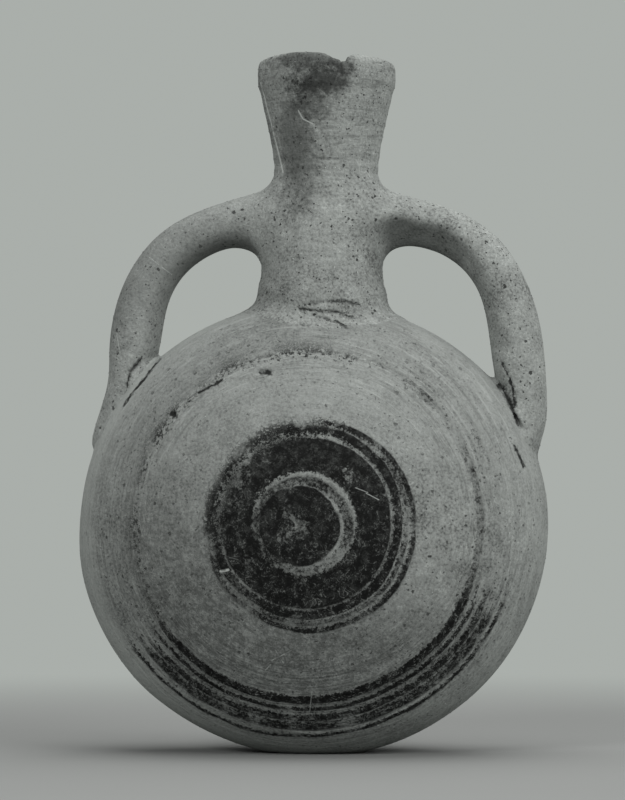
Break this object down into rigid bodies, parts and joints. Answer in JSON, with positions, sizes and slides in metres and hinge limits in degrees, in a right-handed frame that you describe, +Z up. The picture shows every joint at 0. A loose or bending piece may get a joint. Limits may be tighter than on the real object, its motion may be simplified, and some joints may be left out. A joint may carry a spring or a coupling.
{
  "type": "pilgrim flask",
  "caption": "Fired-clay pilgrim flask with a lens-shaped body, a flaring neck, handles from neck to shoulders and dark painted rings on its front.",
  "frame": {"origin": "on the worn foot, under the middle of the body's diameter and on the seam between the two bowls", "axes": "+Z up through the body to the neck and rim, -Y out of the painted face, +X to the right as the painted face is looked at"},
  "size_m": [0.1334, 0.0814, 0.1965],
  "materials": {
    "painted_clay": "matt fired clay, gritty and worn, with concentric rings of dark paint",
    "fired_clay": "matt fired clay, gritty, with fine pores",
    "luting_clay": "matt fired clay, wiped on wet with the fingers"
  },
  "bodies": {
    "root": {"front_bowl": "painted_clay", "rear_bowl": "painted_clay", "neck": "fired_clay", "neck_collar": "luting_clay", "left_handle": "fired_clay", "right_handle": "fired_clay", "left_root_wad": "luting_clay", "right_root_wad": "luting_clay"}
  },
  "joints": []
}
